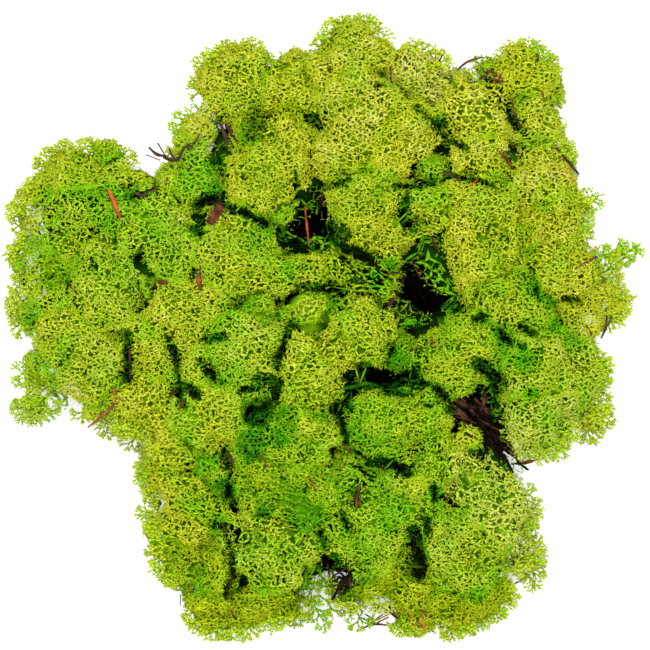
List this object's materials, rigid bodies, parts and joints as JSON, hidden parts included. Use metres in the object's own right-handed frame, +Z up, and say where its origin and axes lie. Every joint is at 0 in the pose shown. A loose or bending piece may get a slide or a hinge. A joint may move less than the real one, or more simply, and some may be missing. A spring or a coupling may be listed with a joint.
{
  "type": "reindeer moss clump",
  "caption": "Dyed lime-green reindeer moss clump: rounded, finely branched lichen heads on a flat mat of dead stems, with pine needles, twigs and bark caught in it.",
  "frame": {"origin": "middle of the clump's footprint, on the surface it rests on", "axes": "+Z up out of the resting surface; +Y towards the tall north crown of the heads; +X towards the side with the long loose sprig"},
  "size_m": [0.2178, 0.2162, 0.0577],
  "materials": {
    "lichen_lime": "matt, dyed lime green, paler at the tips and darker inside",
    "lichen_yellow": "matt, dyed yellow-green, paler at the tips and darker inside",
    "lichen_pale": "matt, weakly dyed pale yellow-green",
    "lichen_green": "matt, strongly dyed green",
    "dead_mat": "dull, dark olive-brown felt of dead stems and humus",
    "bark": "rough, fibrous, dark red-brown",
    "twig": "rough, grey-brown",
    "needle": "satin, orange-brown dry pine needle"
  },
  "bodies": {
    "root": {"dead_base_mat": "dead_mat", "head_north_west_crown": "lichen_pale", "head_north_west_inner": "lichen_yellow", "head_north_west_dome": "lichen_yellow", "head_north_west_low": "lichen_green", "head_west_shoulder": "lichen_lime", "head_west_rim": "lichen_lime", "head_west_inner": "lichen_lime", "head_west_high": "lichen_lime", "head_west_point": "lichen_lime", "head_west_middle": "lichen_lime", "head_north_crown": "lichen_lime", "head_north_east_edge": "lichen_yellow", "head_north_branchy": "lichen_pale", "head_north_dome": "lichen_pale", "head_north_inner": "lichen_pale", "head_north_east_corner": "lichen_lime", "head_north_east_side": "lichen_lime", "head_east_shoulder": "lichen_lime", "head_centre_north": "lichen_yellow", "head_east_inner": "lichen_lime", "head_east_side": "lichen_lime", "head_east_hollow": "lichen_lime", "sprig_east": "lichen_green", "head_east_lace": "lichen_pale", "head_south_west_shoulder": "lichen_yellow", "sprig_west": "lichen_green", "head_centre_west": "lichen_lime", "head_centre_ridge": "lichen_lime", "head_south_west_rim": "lichen_lime", "head_south_west_dome": "lichen_lime", "head_south_west_low": "lichen_green", "head_centre_south": "lichen_lime", "head_south_inner": "lichen_lime", "head_south_net": "lichen_green", "head_south_west_foot": "lichen_lime", "head_south_rim": "lichen_lime", "head_centre_tongue": "lichen_yellow", "head_centre_hollow": "lichen_green", "head_centre_east": "lichen_lime", "head_east_rim": "lichen_lime", "head_east_dome": "lichen_lime", "head_south_east_inner": "lichen_green", "head_south_east_side": "lichen_pale", "head_south_east_crown": "lichen_yellow", "head_south_middle": "lichen_lime", "head_south_foot": "lichen_lime", "head_south_east_foot": "lichen_lime", "bark_slab": "bark", "bark_curl": "bark", "bark_flake_west": "bark", "needle_long": "needle", "needle_west": "needle", "needle_east": "needle", "needle_north_east": "needle", "twig_north": "twig", "twig_south_west": "twig", "twig_east": "twig", "stick_centre": "twig", "stick_south": "twig"}
  },
  "joints": []
}
